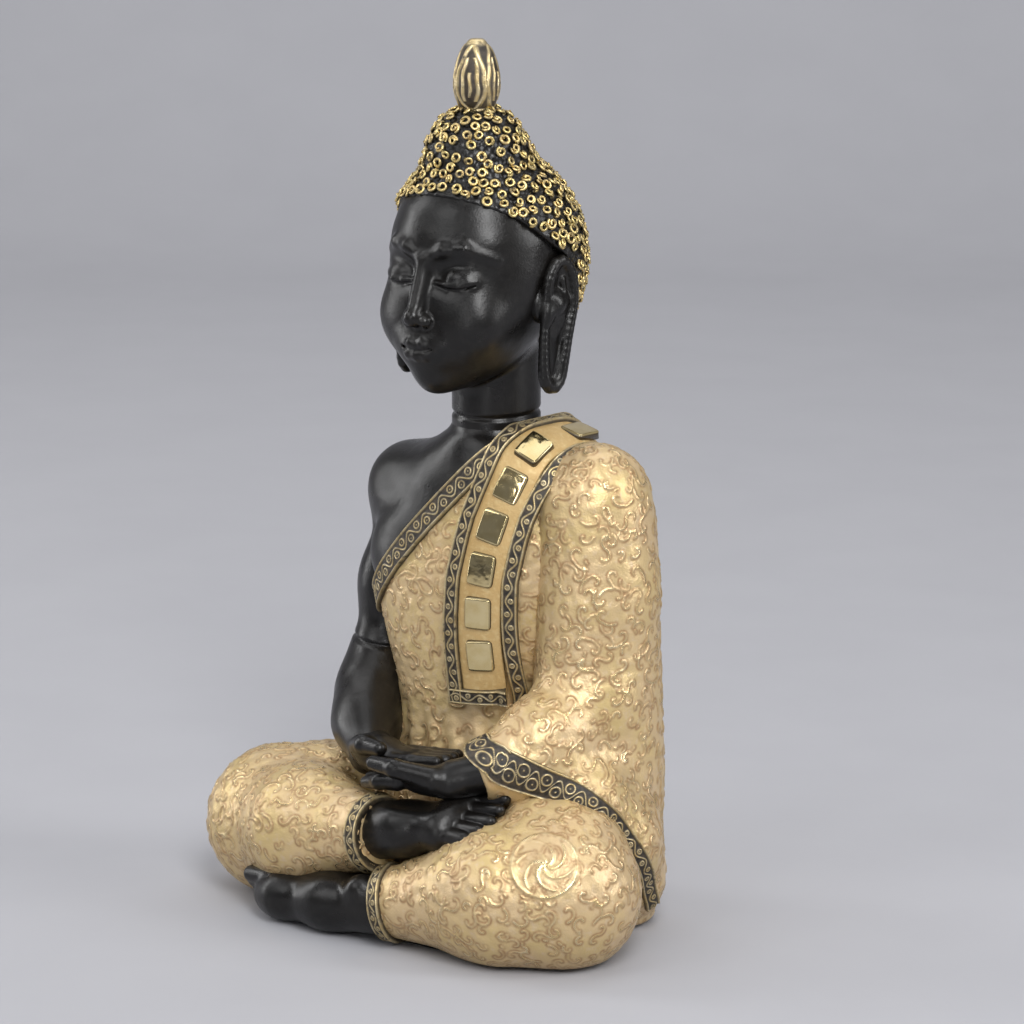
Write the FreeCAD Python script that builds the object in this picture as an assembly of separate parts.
"""Seated meditation statue in a draped robe with an inlaid shoulder sash, one STEP per piece.

Millimetres. +Z is up, the figure faces -Y and its own left hand is on +X. The origin is the
centre of the footprint on the resting plane.
"""

import FreeCAD
import Part
import math
import os

from FreeCAD import Vector

# ---------------------------------------------------------------- driving dimensions
HEIGHT = 300.0  # floor to finial tip
FELT = 1.2  # felt sheet under the base
PLATE = 3.0  # closing plate let into the underside
WALL = 5.0  # wall of the hollow castings
ROBE = 3.0  # robe relief standing off the torso
SASH = 2.4  # sash on the robe
BORDER = 1.3  # embroidered borders stand this much above what they edge
FIT = 0.1  # clearance round let-in pieces

# Underside outline inside the soles of the castings, counter-clockwise from the left knee.
FOOTPRINT = (
    (70, -12), (62, -25), (44, -31), (0, -33), (-30, -33), (-56, -24), (-67, -13),
    (-56, 10), (-42, 30), (-24, 43), (0, 46), (24, 43), (42, 31), (57, 11),
)
PLATE_INSET = 0.93
PLATE_SCALE = 0.928

# Torso sections from waist to neck: height, half width, half depth, centre y, and how far a
# cloth layer rises there in layer thicknesses.
TORSO = (
    (56.0, 33.0, 22.0, 23.0, 0.0),
    (70.0, 29.5, 21.0, 23.0, 0.0),
    (82.0, 31.0, 22.0, 23.0, 0.0),
    (95.0, 35.5, 24.0, 23.2, 0.0),
    (107.0, 39.0, 25.2, 23.4, 0.0),
    (120.0, 42.5, 25.2, 23.8, 0.0),
    (134.0, 45.0, 24.2, 25.0, 0.0),
    (145.0, 43.5, 22.5, 26.5, 0.5),
    (152.0, 38.5, 20.8, 27.2, 1.2),
    (157.0, 31.5, 19.2, 28.0, 1.5),
    (161.0, 24.0, 18.0, 28.5, 1.2),
    (163.5, 19.0, 17.0, 29.0, 0.9),
)

# Sleeve drape sections from shoulder to floor: height, centre x and y, half width, half depth.
DRAPE = (
    (152.0, 42.0, 27.0, 14.0, 14.0),
    (140.0, 43.0, 28.0, 19.5, 20.0),
    (115.0, 46.0, 26.5, 20.0, 22.0),
    (85.0, 47.0, 26.0, 20.0, 24.0),
    (55.0, 48.0, 27.0, 19.5, 24.0),
    (25.0, 48.0, 29.5, 18.0, 21.0),
    (4.0, 48.0, 31.0, 15.0, 17.0),
)

# Limbs as chains of (centre, radius).
HIPS_CENTRE = (0, 22, 26)
HIPS_RADII = (54, 29, 44)
WAIST_Z = TORSO[0][0]
SEAT_SKIRT_Z = 12.0  # the seat fills the whole footprint up to here
HOLLOW_DROP = (0, 0, -6)  # the legs' hollows open downwards
TORSO_HOLLOW_TOP = 140.0

LEFT_LEG = (((26, 22, 26), 27), ((63, -14, 23), 27), ((49, -26, 22), 23), ((6, -37, 13.5), 11))
RIGHT_LEG = (((-26, 22, 28), 27), ((-63, -13, 25), 26), ((-38, -27, 30), 20), ((2, -33, 36), 11.5))
LEFT_FOOT = (((8, -37, 12.5), 10.5), ((-16, -40, 10.5), 9.5), ((-38, -41, 9), 8), ((-49, -39, 7.5), 6))
RIGHT_FOOT = (((-1, -32, 36.5), 10.5), ((10, -34, 38), 10.5), ((25, -31, 42), 9), ((40, -25, 47), 6.5))
RIGHT_ARM = (
    ((-35, 28, 141), 13),
    ((-42, 24, 108), 11),
    ((-47, 20, 75), 11),
    ((-33, -2, 62), 9.5),
    ((-19, -16, 57), 7.5),
)
RIGHT_HAND = (((-13, -18.5, 57), 6.9), ((-3, -20.5, 57.5), 6.2), ((10, -19, 59), 4.5), ((20, -18, 60), 3.5))
LEFT_HAND = (((40, -16, 61.5), 7.5), ((26, -27, 58), 7), ((12, -30, 55), 6.5), ((-8, -31, 51.5), 4.2))
LEFT_SHOULDER = (((43, 28, 146), 20), ((46, 27, 115), 20))
LEFT_FOREARM = (((50, 18, 80), 15), ((46, -1, 70), 13.5), ((37, -20, 61.5), 10.8))
SLEEVE_FALL = (
    ((40, -12, 57), 11), ((45, -4, 58), 13), ((56, 6, 49), 15),
    ((60, 18, 34), 15), ((57, 28, 18), 14),
)
SLEEVE_MOUTH = (33.5, -23.5, 60.0)
SLEEVE_INWARD = (10, 19, 7)  # from the mouth into the sleeve
HEM_UNDER_WRIST = (40, -16, 52)
HEM_TOP_Z = 65.0
HEM_BACK_Y = 34.0
HEM_WIDTH = 6.0
CUFF_WIDTH = 5.0
CUFF_REACH = 24.0

# Neckline in front view (x, z): from beside the neck to under the right arm.
NECKLINE_TOP = (12.5, 164.0)
NECKLINE_LOW = (-41.0, 105.0)
NECKLINE_BAND = 8.0

# Centre of the sash in front view (x, z), from its lower end up over the shoulder.
SASH_LINE = ((19.5, 50), (19.5, 74), (19.5, 100), (20.5, 122), (23.5, 142), (28, 158), (31, 176))
SASH_HALF = 12.8
SASH_FRONT_Z = 77.0
SASH_BACK_Z = 96.0
SASH_EDGE = 5.4
TILE_WIDE = 9.4
TILE_TALL = 11.2
TILE_THICK = 1.9
TILE_SINK = 0.9
TILE_PITCH = 15.0
TILE_FIRST = 12.0
TILE_COUNT = 7
TILE_CHAMFER = 0.5

NECK_AXIS_Y = 28.5
NECK_RADIUS = 15.2
NECK_TOP = 200.0  # inside the head
SPIGOT_RADIUS = 9.0
SPIGOT_LENGTH = 12.0
# Head sections from chin to crown: height, half width, half depth, centre y.
HEAD = (
    (184.0, 7.0, 7.5, 4.0),
    (187.0, 13.0, 13.5, 7.0),
    (193.0, 19.0, 20.5, 11.0),
    (201.0, 24.0, 25.5, 14.5),
    (211.0, 28.0, 29.0, 18.0),
    (222.0, 30.0, 30.5, 20.5),
    (235.0, 30.0, 31.0, 22.0),
    (246.0, 26.5, 28.0, 22.5),
    (254.0, 20.0, 21.5, 22.5),
    (260.0, 9.0, 10.0, 22.5),
)
# Ear sections from lobe to tip: height, centre x and y, half width, half depth.
EAR = (
    (184.5, 32.0, 18.5, 1.0, 2.2),
    (188.0, 32.2, 19.0, 2.6, 4.2),
    (198.0, 32.0, 20.5, 2.9, 4.9),
    (207.0, 31.5, 23.0, 3.0, 5.4),
    (216.0, 31.2, 26.0, 3.4, 7.4),
    (223.0, 30.8, 27.0, 3.2, 7.0),
    (228.0, 29.8, 27.5, 1.6, 3.6),
)
EYE_Z = 222.0
NOSE_Z = 206.0
MOUTH_Z = 199.0
# Wings of the nose, lids, lips and chin: centre, radii. Off-centre ones are made in pairs.
FEATURES = (
    ((3.4, -9.0, NOSE_Z + 2.2), (2.6, 3.0, 2.4)),
    ((12.0, -2.5, EYE_Z - 1), (7.0, 4.6, 3.6)),
    ((0, -7.8, MOUTH_Z + 1.4), (8.0, 3.2, 1.9)),
    ((0, -7.4, MOUTH_Z - 1.8), (6.5, 3.2, 2.2)),
    ((0, -3.0, 189.5), (8.0, 6.0, 5.5)),
)
NOSE = (((0, -6.0, EYE_Z + 2), 2.4), ((0, -11.5, NOSE_Z + 3.5), 3.6))

HAIR_CENTRE = (0, 22.5, 226)
HAIR_RADII = (33.5, 33.5, 38)
BUN_CENTRE = (0, 19, 259)
BUN_RADII = (17, 17, 18.5)
HAIRLINE_FRONT = (-5.0, 250.0)  # (y, z) at the middle of the brow
HAIRLINE_EAR = (26.0, 229.0)
HAIRLINE_NAPE = (37.0, 195.0)
CURL_RING = 1.4  # centre line radius of one curl
CURL_TUBE = 0.7
CURL_LIFT = 0.65  # its centre line stands this far off the hair
CURL_PITCH = 5.2
CLEAR_OF_EAR = (24.0, 14.0, 38.0)  # no curls beyond this x between these two y
FINIAL_FOOT = 5.2

FINIAL_Y = 18.5
FINIAL_Z = 275.5
# Bud sections: height above its foot, half width, half depth.
BUD = (
    (0.0, 5.0, 5.0),
    (3.0, 6.8, 7.0),
    (7.5, 8.0, 8.4),
    (12.0, 7.9, 8.2),
    (17.0, 6.9, 7.2),
    (21.0, 5.2, 5.4),
    (23.4, 3.0, 3.2),
)
STEM_RADIUS = 2.5
STEM_LENGTH = 8.0

CENTRING = -3.9  # along Y, so that the whole figure centres on the origin

FAR = 200.0
CUT_TOLERANCE = 0.001


# ---------------------------------------------------------------- solid helpers
def box(low, high):
    size = Vector(*high) - Vector(*low)
    return Part.makeBox(size.x, size.y, size.z, Vector(*low))


def ellipsoid(centre, radii, grow=0.0):
    ball = Part.makeSphere(1.0)
    scale = FreeCAD.Matrix()
    scale.scale(*(r + grow for r in radii))
    ball = ball.transformGeometry(scale)
    ball.translate(Vector(*centre))
    return ball


def chain(links, grow=0.0, shift=(0, 0, 0), pole=Vector(0, 0, 1)):
    """A limb: a ball at each joint and a cone between each pair. Pole is the balls' own axis."""
    offset = Vector(*shift)
    balls = [
        Part.makeSphere(radius + grow, Vector(*centre) + offset, pole) for centre, radius in links
    ]
    cones = []
    for (a, ra), (b, rb) in zip(links, links[1:]):
        along = Vector(*b) - Vector(*a)
        start_radius = (ra + grow) * 0.992
        end_radius = (rb + grow) * 0.988
        cones.append(
            Part.makeCone(start_radius, end_radius, along.Length, Vector(*a) + offset, along)
        )
    return balls[0].fuse(balls[1:] + cones)


def biggest(shape):
    """The main solid of a boolean result, without slivers."""
    return max(shape.Solids, key=lambda solid: solid.Volume)


def cut(shape, *tools):
    """Take each tool away in turn, skipping the ones that are clear of the shape."""
    for tool in tools:
        if shape.BoundBox.intersect(tool.BoundBox):
            shape = shape.cut(tool, CUT_TOLERANCE)
    return biggest(shape)


def front_prism(points):
    """A front-view (x, z) outline pushed all the way through along Y."""
    corners = [Vector(x, -FAR, z) for x, z in points]
    face = Part.Face(Part.makePolygon([*corners, corners[0]]))
    return face.extrude(Vector(0, 2 * FAR, 0))


def side_prism(points):
    """A side-view (y, z) outline pushed all the way through along X."""
    corners = [Vector(-FAR, y, z) for y, z in points]
    face = Part.Face(Part.makePolygon([*corners, corners[0]]))
    return face.extrude(Vector(2 * FAR, 0, 0))


def half_space(point, normal):
    """Everything on the side of a plane that its normal points to."""
    return Part.makeCylinder(FAR, FAR, Vector(*point), Vector(*normal))


def ellipse_wire(x, y, z, half_width, half_depth):
    """A level ellipse whose seam is always at its back."""
    major = Vector(x, y + half_depth, z)
    minor = Vector(x + half_width, y, z)
    if half_width > half_depth:
        major, minor = minor, major
    if abs(half_width - half_depth) < 1e-6:
        curve = Part.Circle(Vector(x, y, z), Vector(0, 0, 1), half_width)
    else:
        curve = Part.Ellipse(major, minor, Vector(x, y, z))
    return Part.Wire([curve.toShape()])


def torso_loft(grow=0.0, top=FAR):
    wires = []
    for z, half_width, half_depth, centre_y, lift in TORSO:
        if z <= top:
            lifted = z + lift * grow
            wires.append(ellipse_wire(0, centre_y, lifted, half_width + grow, half_depth + grow))
    return Part.makeLoft(wires, True, False)


def drape_loft(grow=0.0):
    wires = [ellipse_wire(x, y, z, a + grow, b + grow) for z, x, y, a, b in DRAPE]
    return Part.makeLoft(wires, True, False)


# ---------------------------------------------------------------- underside
def footprint_slab(scale, low, high):
    curve = Part.BSplineCurve()
    curve.interpolate([Vector(x * scale, y * scale, low) for x, y in FOOTPRINT], PeriodicFlag=True)
    return Part.Face(Part.Wire([curve.toShape()])).extrude(Vector(0, 0, high - low))


felt = footprint_slab(1.0, 0.0, FELT)
plate_pocket = footprint_slab(PLATE_INSET, FELT - WALL, FELT + PLATE)
base_plate = footprint_slab(PLATE_SCALE, FELT, FELT + PLATE)
under = box((-FAR, -FAR, -FAR), (FAR, FAR, FELT))

# ---------------------------------------------------------------- seat, legs and feet
def trouser(links, grow=0.0):
    """A leg cut off square at its ankle, where the foot comes out."""
    end, before = Vector(*links[-1][0]), Vector(*links[-2][0])
    beyond = Part.makeCylinder(CUFF_REACH, CUFF_REACH, end, end - before)
    return cut(chain(links, grow), beyond)


left_leg_whole = trouser(LEFT_LEG)
right_leg_whole = trouser(RIGHT_LEG)
torso_whole = torso_loft()

hips = ellipsoid(HIPS_CENTRE, HIPS_RADII).cut(half_space((0, 0, WAIST_Z), (0, 0, 1)))
hips_hollow = ellipsoid(HIPS_CENTRE, HIPS_RADII, -WALL - 3)
hips_hollow = hips_hollow.cut(half_space((0, 0, WAIST_Z - WALL), (0, 0, 1)))
seat_whole = hips.fuse(footprint_slab(1.0, FELT, SEAT_SKIRT_Z))

left_leg_hollow = chain(LEFT_LEG[:3], -WALL, HOLLOW_DROP)
right_leg_hollow = chain(RIGHT_LEG[:3], -WALL, HOLLOW_DROP)
left_leg = cut(left_leg_whole, under, left_leg_hollow, plate_pocket)
right_leg = cut(right_leg_whole, under, left_leg_whole, right_leg_hollow, plate_pocket)
seat = cut(seat_whole, under, left_leg_whole, right_leg_whole, hips_hollow, plate_pocket)
left_foot = cut(chain(LEFT_FOOT), under, left_leg_whole, right_leg_whole, seat_whole)
right_foot = cut(chain(RIGHT_FOOT), left_leg_whole, right_leg_whole)

# ---------------------------------------------------------------- torso and robe
TORSO_TOP = TORSO[-1][0]

torso_hollow = torso_loft(-WALL - 2, top=TORSO_HOLLOW_TOP)
neck_socket = Part.makeCylinder(
    SPIGOT_RADIUS + FIT, SPIGOT_LENGTH + FIT, Vector(0, NECK_AXIS_Y, TORSO_TOP - SPIGOT_LENGTH - FIT)
)
torso = cut(torso_whole, torso_hollow, neck_socket)


def below_neckline(width):
    """The band of a given width that lies below the neckline, right through the body."""
    (low_x, low_z), (top_x, top_z) = NECKLINE_LOW, NECKLINE_TOP
    run, rise = top_x - low_x, top_z - low_z
    length = math.hypot(run, rise)
    down_x, down_z = rise / length * width, -run / length * width
    start = (low_x - run, low_z - rise)
    end = (top_x + run, top_z + rise)
    return front_prism(
        [start, end, (end[0] + down_x, end[1] + down_z), (start[0] + down_x, start[1] + down_z)]
    )


def neck_clearance(gap):
    return Part.makeCylinder(NECK_RADIUS + gap, FAR, Vector(0, NECK_AXIS_Y, TORSO_HOLLOW_TOP))


robe_whole = torso_loft(ROBE)
robe_wrap = cut(robe_whole.common(below_neckline(FAR)), torso_whole, neck_clearance(1.0))

edge_whole = torso_loft(ROBE + BORDER)
neckline_border = edge_whole.common(below_neckline(NECKLINE_BAND)).cut(robe_whole)

# ---------------------------------------------------------------- sash
def sash_strip(inner, outer):
    """The front-view strip between two distances from the centre line, right through the body."""
    line = Part.BSplineCurve()
    line.interpolate([Vector(x, 0, z) for x, z in SASH_LINE])
    steps = 14
    left, right = [], []
    for step in range(steps + 1):
        at = line.FirstParameter + (line.LastParameter - line.FirstParameter) * step / steps
        point = line.value(at)
        along = line.tangent(at)[0]
        across = Vector(along.z, 0, -along.x)
        left.append(point + across * inner)
        right.append(point + across * outer)
    return front_prism([(p.x, p.z) for p in left + right[::-1]])


def below(front_z, back_z):
    """Everything lower than the sash's ends, at one height in front and another behind."""
    front = box((-FAR, -FAR, -FAR), (FAR, NECK_AXIS_Y, front_z))
    back = box((-FAR, NECK_AXIS_Y, -FAR), (FAR, FAR, back_z))
    return front.fuse(back)


sash_skin = torso_loft(ROBE + SASH)
trim_skin = torso_loft(ROBE + SASH + BORDER)
sash_field = sash_strip(-SASH_HALF + SASH_EDGE, SASH_HALF - SASH_EDGE)
past_ends = below(SASH_FRONT_Z, SASH_BACK_Z)
past_hems = below(SASH_FRONT_Z + SASH_EDGE, SASH_BACK_Z + SASH_EDGE)
sash_bodies = (robe_whole, neck_clearance(2.0))

sash_panel = cut(sash_skin.common(sash_field), past_hems, *sash_bodies)
sash_edges = [
    cut(trim_skin.common(sash_strip(low, low + SASH_EDGE)), past_ends, *sash_bodies)
    for low in (-SASH_HALF, SASH_HALF - SASH_EDGE)
]
sash_hems = trim_skin.common(sash_field).common(past_hems)
for tool in (past_ends, *sash_bodies):
    sash_hems = sash_hems.cut(tool)
sash_hem_front = biggest(sash_hems.common(half_space((0, NECK_AXIS_Y, 0), (0, -1, 0))))
sash_hem_back = biggest(sash_hems.common(half_space((0, NECK_AXIS_Y, 0), (0, 1, 0))))
neckline_border = cut(neckline_border, sash_strip(-SASH_HALF, SASH_HALF), neck_clearance(1.0))


def tile_seats():
    """Where the tiles sit: points up the front of the sash and the direction along it."""
    line = Part.BSplineCurve()
    line.interpolate([Vector(x, -FAR, z) for x, z in SASH_LINE])
    sheet = line.toShape().extrude(Vector(0, 2 * FAR, 0))
    section = Part.Wire(Part.__sortEdges__(sash_skin.section(sheet).Edges))
    points = section.discretize(Distance=0.5)
    front = [p for p in points if p.y < NECK_AXIS_Y + 8 and p.z > SASH_FRONT_Z + SASH_EDGE]
    front.sort(key=lambda p: p.z)
    seats, travelled = [], 0.0
    for low, high in zip(front, front[1:]):
        travelled += (high - low).Length
        if travelled >= TILE_FIRST + TILE_PITCH * len(seats) and len(seats) < TILE_COUNT:
            seats.append((high, (high - low).normalize()))
    return seats


def tile_slab(point, along, gap=0.0):
    """A mirror tile, its upper edge bevelled, facing straight out of the sash."""
    face = sash_skin.Faces[0]
    normal = face.normalAt(*face.Surface.parameter(point))
    if normal.dot(point - Vector(0, NECK_AXIS_Y, point.z - 30)) < 0:
        normal = normal * -1
    across = along.cross(normal).normalize()
    normal = across.cross(along).normalize()
    wide, tall = TILE_WIDE + 2 * gap, TILE_TALL + 2 * gap
    slab = Part.makeBox(wide, tall, TILE_THICK, Vector(-wide / 2, -tall / 2, -TILE_SINK))
    if gap == 0.0:
        rim = [e for e in slab.Edges if all(v.Z > 0 for v in e.Vertexes)]
        slab = slab.makeChamfer(TILE_CHAMFER, rim)
    placed = FreeCAD.Matrix(
        across.x, along.x, normal.x, point.x,
        across.y, along.y, normal.y, point.y,
        across.z, along.z, normal.z, point.z,
        0, 0, 0, 1,
    )
    return slab.transformGeometry(placed)


seats = tile_seats()
mirror_tiles = [tile_slab(point, along) for point, along in seats]
sash_panel = cut(sash_panel, *(tile_slab(point, along, FIT) for point, along in seats))

# ---------------------------------------------------------------- arms, hands and sleeve
right_arm = cut(chain(RIGHT_ARM), torso_whole, robe_whole, seat_whole, right_leg_whole)
left_hand_whole = chain(LEFT_HAND)
right_foot_whole = chain(RIGHT_FOOT)
left_hand = cut(left_hand_whole, right_foot_whole, right_leg_whole, left_leg_whole)
right_hand_whole = chain(RIGHT_HAND, pole=Vector(1, 0, 0))
right_hand = cut(
    right_hand_whole, left_hand_whole, right_foot_whole, chain(RIGHT_ARM), right_leg_whole, seat_whole
)


def sleeve_skin(grow=0.0):
    """Shoulder, hanging drape, forearm and the fold of cloth from the forearm to the floor."""
    limbs = [chain(links, grow) for links in (LEFT_SHOULDER, LEFT_FOREARM, SLEEVE_FALL)]
    whole = drape_loft(grow).fuse(limbs)
    return whole.cut(half_space(SLEEVE_MOUTH, [-step for step in SLEEVE_INWARD]))


sleeve_whole = sleeve_skin()
sleeve_neighbours = (
    under, torso_whole, robe_whole, left_leg_whole, seat_whole, sash_panel,
    *sash_edges, sash_hem_front, sash_hem_back, neckline_border,
)
left_sleeve = cut(sleeve_whole, *sleeve_neighbours, left_hand_whole)
mouth = Vector(*SLEEVE_MOUTH)
near_mouth = Part.makeCylinder(CUFF_REACH * 2, HEM_WIDTH, mouth, Vector(*SLEEVE_INWARD))
under_wrist = Part.makeSphere(HEM_WIDTH + 4, Vector(*HEM_UNDER_WRIST))
hem_zone = chain(LEFT_LEG, HEM_WIDTH).fuse([near_mouth, under_wrist])
hem_shell = sleeve_skin(BORDER).cut(sleeve_whole).common(hem_zone)
sleeve_hem_border = cut(
    hem_shell, *sleeve_neighbours, left_hand_whole,
    box((-FAR, -FAR, HEM_TOP_Z), (FAR, FAR, FAR)), box((-FAR, HEM_BACK_Y, -FAR), (FAR, FAR, FAR)),
)


# ---------------------------------------------------------------- trouser cuffs
def cuff(links, neighbours):
    """A raised band round the last stretch of a trouser leg."""
    end, before = Vector(*links[-1][0]), Vector(*links[-2][0])
    back = (before - end).normalize()
    zone = Part.makeCylinder(CUFF_REACH, CUFF_WIDTH, end, back)
    return cut(trouser(links, BORDER).common(zone), chain(links), *neighbours)


left_foot_whole = chain(LEFT_FOOT)
left_cuff_border = cuff(
    LEFT_LEG, (under, right_leg_whole, seat_whole, left_foot_whole, right_foot_whole)
)
right_cuff_border = cuff(
    RIGHT_LEG, (left_leg_whole, seat_whole, right_foot_whole, left_hand_whole, right_hand_whole)
)

# ---------------------------------------------------------------- head
def ear(side):
    """A long-lobed ear standing off the side of the head."""
    wires = [ellipse_wire(side * x, y, z, a, b) for z, x, y, a, b in EAR]
    return Part.makeLoft(wires, True, False)


def face_relief():
    """Plain features at even thirds of the face: nose, closed lids, lips and chin."""
    relief = [chain(NOSE)]
    for (x, y, z), radii in FEATURES:
        for side in (-1, 1) if x else (1,):
            relief.append(ellipsoid((side * x, y, z), radii))
    return relief


neck = Part.makeCylinder(NECK_RADIUS, NECK_TOP - TORSO_TOP, Vector(0, NECK_AXIS_Y, TORSO_TOP))
spigot = Part.makeCylinder(
    SPIGOT_RADIUS, SPIGOT_LENGTH + 1, Vector(0, NECK_AXIS_Y, TORSO_TOP - SPIGOT_LENGTH)
)
head = Part.makeLoft([ellipse_wire(0, y, z, a, b) for z, a, b, y in HEAD], True, False)
for piece in (neck, spigot, ear(1), ear(-1), *face_relief()):
    head = biggest(head.fuse(piece))

# ---------------------------------------------------------------- hair and finial
(brow_y, brow_z), (ear_y, ear_z), (nape_y, nape_z) = HAIRLINE_FRONT, HAIRLINE_EAR, HAIRLINE_NAPE
brow_slope = (brow_z - ear_z) / (brow_y - ear_y)
side_slope = (ear_z - nape_z) / (ear_y - nape_y)


def hairline(y):
    """Height of the hairline in side view."""
    if y < ear_y:
        return ear_z + brow_slope * (y - ear_y)
    return max(nape_z, ear_z + side_slope * (y - ear_y))


hair_zone = side_prism(
    [
        (-FAR, hairline(-FAR)), HAIRLINE_EAR, HAIRLINE_NAPE,
        (FAR, nape_z), (FAR, 2 * HEIGHT), (-FAR, 2 * HEIGHT),
    ]
)
bud = Part.makeLoft([ellipse_wire(0, FINIAL_Y, FINIAL_Z + z, a, b) for z, a, b in BUD], True, False)
bud_top = FINIAL_Z + BUD[-1][0]
tip = ellipsoid((0, FINIAL_Y, bud_top), (BUD[-1][1], BUD[-1][2], HEIGHT - bud_top))
stem = Part.makeCylinder(STEM_RADIUS, STEM_LENGTH + 1, Vector(0, FINIAL_Y, FINIAL_Z - STEM_LENGTH))
stem_hole = Part.makeCylinder(
    STEM_RADIUS + FIT, STEM_LENGTH + 1, Vector(0, FINIAL_Y, FINIAL_Z - STEM_LENGTH - FIT)
)
flame_finial = biggest(bud.fuse([stem, tip]))
bun = ellipsoid(BUN_CENTRE, BUN_RADII)
hair_cap = cut(ellipsoid(HAIR_CENTRE, HAIR_RADII).common(hair_zone).fuse(bun), head, stem_hole, bud)


def inside(point, centre, radii, grow):
    return sum(((p - c) / (r + grow)) ** 2 for p, c, r in zip(point, centre, radii)) < 1.0


def curl_seats(centre, radii):
    """Points and outward normals in staggered rings down an ellipsoid."""
    rows = int(math.pi * radii[2] / CURL_PITCH)
    for row in range(1, rows):
        polar = math.pi * row / rows
        ring = math.sin(polar)
        count = max(3, round(math.pi * (radii[0] + radii[1]) * ring / CURL_PITCH))
        for step in range(count):
            turn = 2 * math.pi * (step + 0.5 * (row % 2)) / count
            unit = (ring * math.sin(turn), -ring * math.cos(turn), math.cos(polar))
            point = Vector(*(c + r * u for c, r, u in zip(centre, radii, unit)))
            yield point, Vector(*(u / r for u, r in zip(unit, radii))).normalize()


def wears_curl(point):
    """Whether a curl here clears the hairline, the ears and the finial's foot."""
    reach = CURL_RING + CURL_TUBE
    beside = abs(point.x) > CLEAR_OF_EAR[0] and CLEAR_OF_EAR[1] < point.y < CLEAR_OF_EAR[2]
    by_ear = beside and point.z < ear_z + reach
    from_axis = math.hypot(point.x, point.y - FINIAL_Y)
    by_finial = from_axis < FINIAL_FOOT + reach and point.z > BUN_CENTRE[2]
    return point.z > hairline(point.y) + reach and not by_ear and not by_finial


def curl(point, normal):
    return Part.makeTorus(CURL_RING, CURL_TUBE, point + normal * CURL_LIFT, normal)


curls = []
for (centre, radii), (other, other_radii) in (
    ((HAIR_CENTRE, HAIR_RADII), (BUN_CENTRE, BUN_RADII)),
    ((BUN_CENTRE, BUN_RADII), (HAIR_CENTRE, HAIR_RADII)),
):
    for point, normal in curl_seats(centre, radii):
        if wears_curl(point) and not inside(point, other, other_radii, CURL_TUBE + CURL_LIFT):
            curls.append(curl(point, normal))

# ---------------------------------------------------------------- files
PARTS = {
    "felt_base_sheet": felt,
    "base_plate": base_plate,
    "seat_casting": seat,
    "left_leg_casting": left_leg,
    "right_leg_casting": right_leg,
    "left_foot": left_foot,
    "right_foot": right_foot,
    "torso_casting": torso,
    "robe_wrap": robe_wrap,
    "neckline_border": neckline_border,
    "sash_panel": sash_panel,
    "sash_border_inner": sash_edges[0],
    "sash_border_outer": sash_edges[1],
    "sash_hem_front": sash_hem_front,
    "sash_hem_back": sash_hem_back,
    "left_sleeve": left_sleeve,
    "sleeve_hem_border": sleeve_hem_border,
    "right_arm": right_arm,
    "right_hand": right_hand,
    "left_hand": left_hand,
    "left_cuff_border": left_cuff_border,
    "right_cuff_border": right_cuff_border,
    "head_casting": head,
    "hair_cap": hair_cap,
    "hair_curls": Part.makeCompound(curls),
    "flame_finial": flame_finial,
}
for number, tile in enumerate(mirror_tiles, 1):
    PARTS[f"mirror_tile_{number}"] = tile

os.makedirs("parts", exist_ok=True)
for name, shape in PARTS.items():
    shape.translate(Vector(0, CENTRING, 0))
    shape.exportStep(f"parts/{name}.step")
    print(f"{name:20s} solids {len(shape.Solids):3d} valid {shape.isValid()} {shape.Volume:9.0f} mm3")
